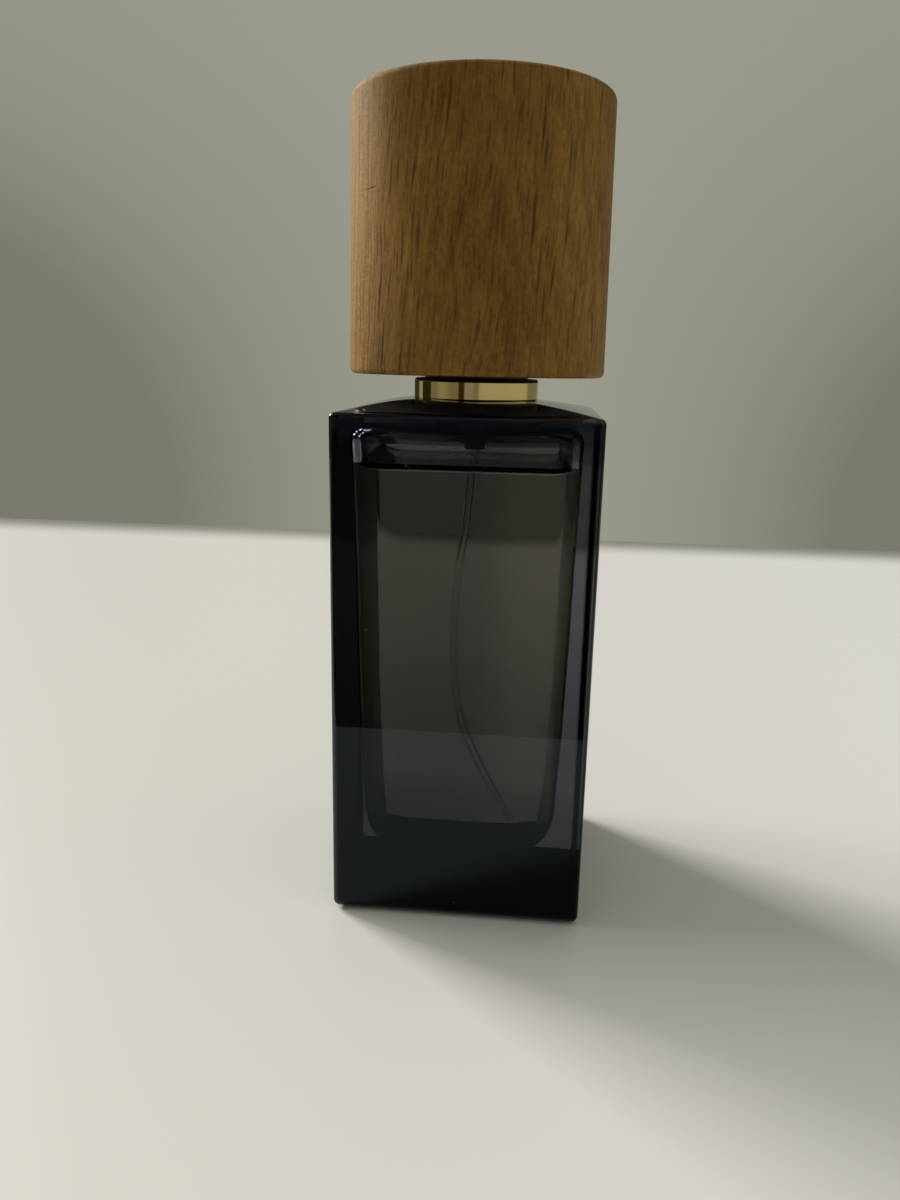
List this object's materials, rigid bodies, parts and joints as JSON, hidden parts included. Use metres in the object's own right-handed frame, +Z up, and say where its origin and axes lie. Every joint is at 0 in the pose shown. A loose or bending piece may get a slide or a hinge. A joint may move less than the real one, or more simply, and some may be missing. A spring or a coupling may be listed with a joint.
{
  "type": "aftershave bottle",
  "caption": "Square smoked-glass aftershave bottle with a crimped spray pump, gold collar, press-down spray button and lift-off turned oak cap.",
  "frame": {"origin": "centre of the bottle's base, on the surface it stands on", "axes": "+Z up along the bottle's axis, -Y towards the front face and the spray nozzle"},
  "size_m": [0.0406, 0.0406, 0.1263],
  "materials": {
    "smoked_glass": "gloss",
    "aftershave": "gloss",
    "clear_tube": "gloss",
    "natural_plastic": "satin",
    "white_acetal": "satin",
    "grey_rubber": "matte",
    "spring_steel": "satin",
    "ferrule_aluminium": "satin",
    "polished_gold": "polished",
    "black_plastic": "satin",
    "oak": "matte"
  },
  "bodies": {
    "bottle": {"glass_bottle": "smoked_glass", "aftershave_liquid": "aftershave", "dip_tube": "clear_tube", "pump_housing": "natural_plastic", "main_spring": "spring_steel", "stem_seal": "grey_rubber", "pump_turret": "white_acetal", "neck_gasket": "grey_rubber", "crimp_ferrule": "ferrule_aluminium", "collar_sleeve": "black_plastic", "collar_shell": "polished_gold"},
    "cap": {"cap_wood_shell": "oak", "cap_liner": "black_plastic"},
    "stem": {"pump_stem": "white_acetal", "precompression_spring": "spring_steel"},
    "piston_body": {"piston": "natural_plastic"},
    "button": {"actuator_core": "black_plastic", "actuator_shell": "polished_gold", "nozzle_insert": "black_plastic"},
    "inlet_valve": {"check_ball": "spring_steel"}
  },
  "joints": [
    {"name": "cap_lift", "type": "slide", "parent": "bottle", "child": "cap", "axis": [0, 0, 1], "range_m": [0, 0.045]},
    {"name": "pump_stroke", "type": "slide", "parent": "bottle", "child": "stem", "axis": [0, 0, -1], "range_m": [0, 0.004], "stiffness_N_per_m": 400, "springref_m": -0.012, "deforming": ["main_spring"]},
    {"name": "actuator_turn", "type": "hinge", "parent": "stem", "child": "button", "pos_m": [0, 0, 0.1064], "axis": [0, 0, 1], "continuous": true},
    {"name": "piston_slip", "type": "slide", "parent": "stem", "child": "piston_body", "axis": [0, 0, 1], "range_m": [0, 0.0004], "stiffness_N_per_m": 2, "springref_m": -0.003, "deforming": ["precompression_spring"]},
    {"name": "check_ball_lift", "type": "slide", "parent": "bottle", "child": "inlet_valve", "axis": [0, 0, 1], "range_m": [0, 0.0005]}
  ]
}
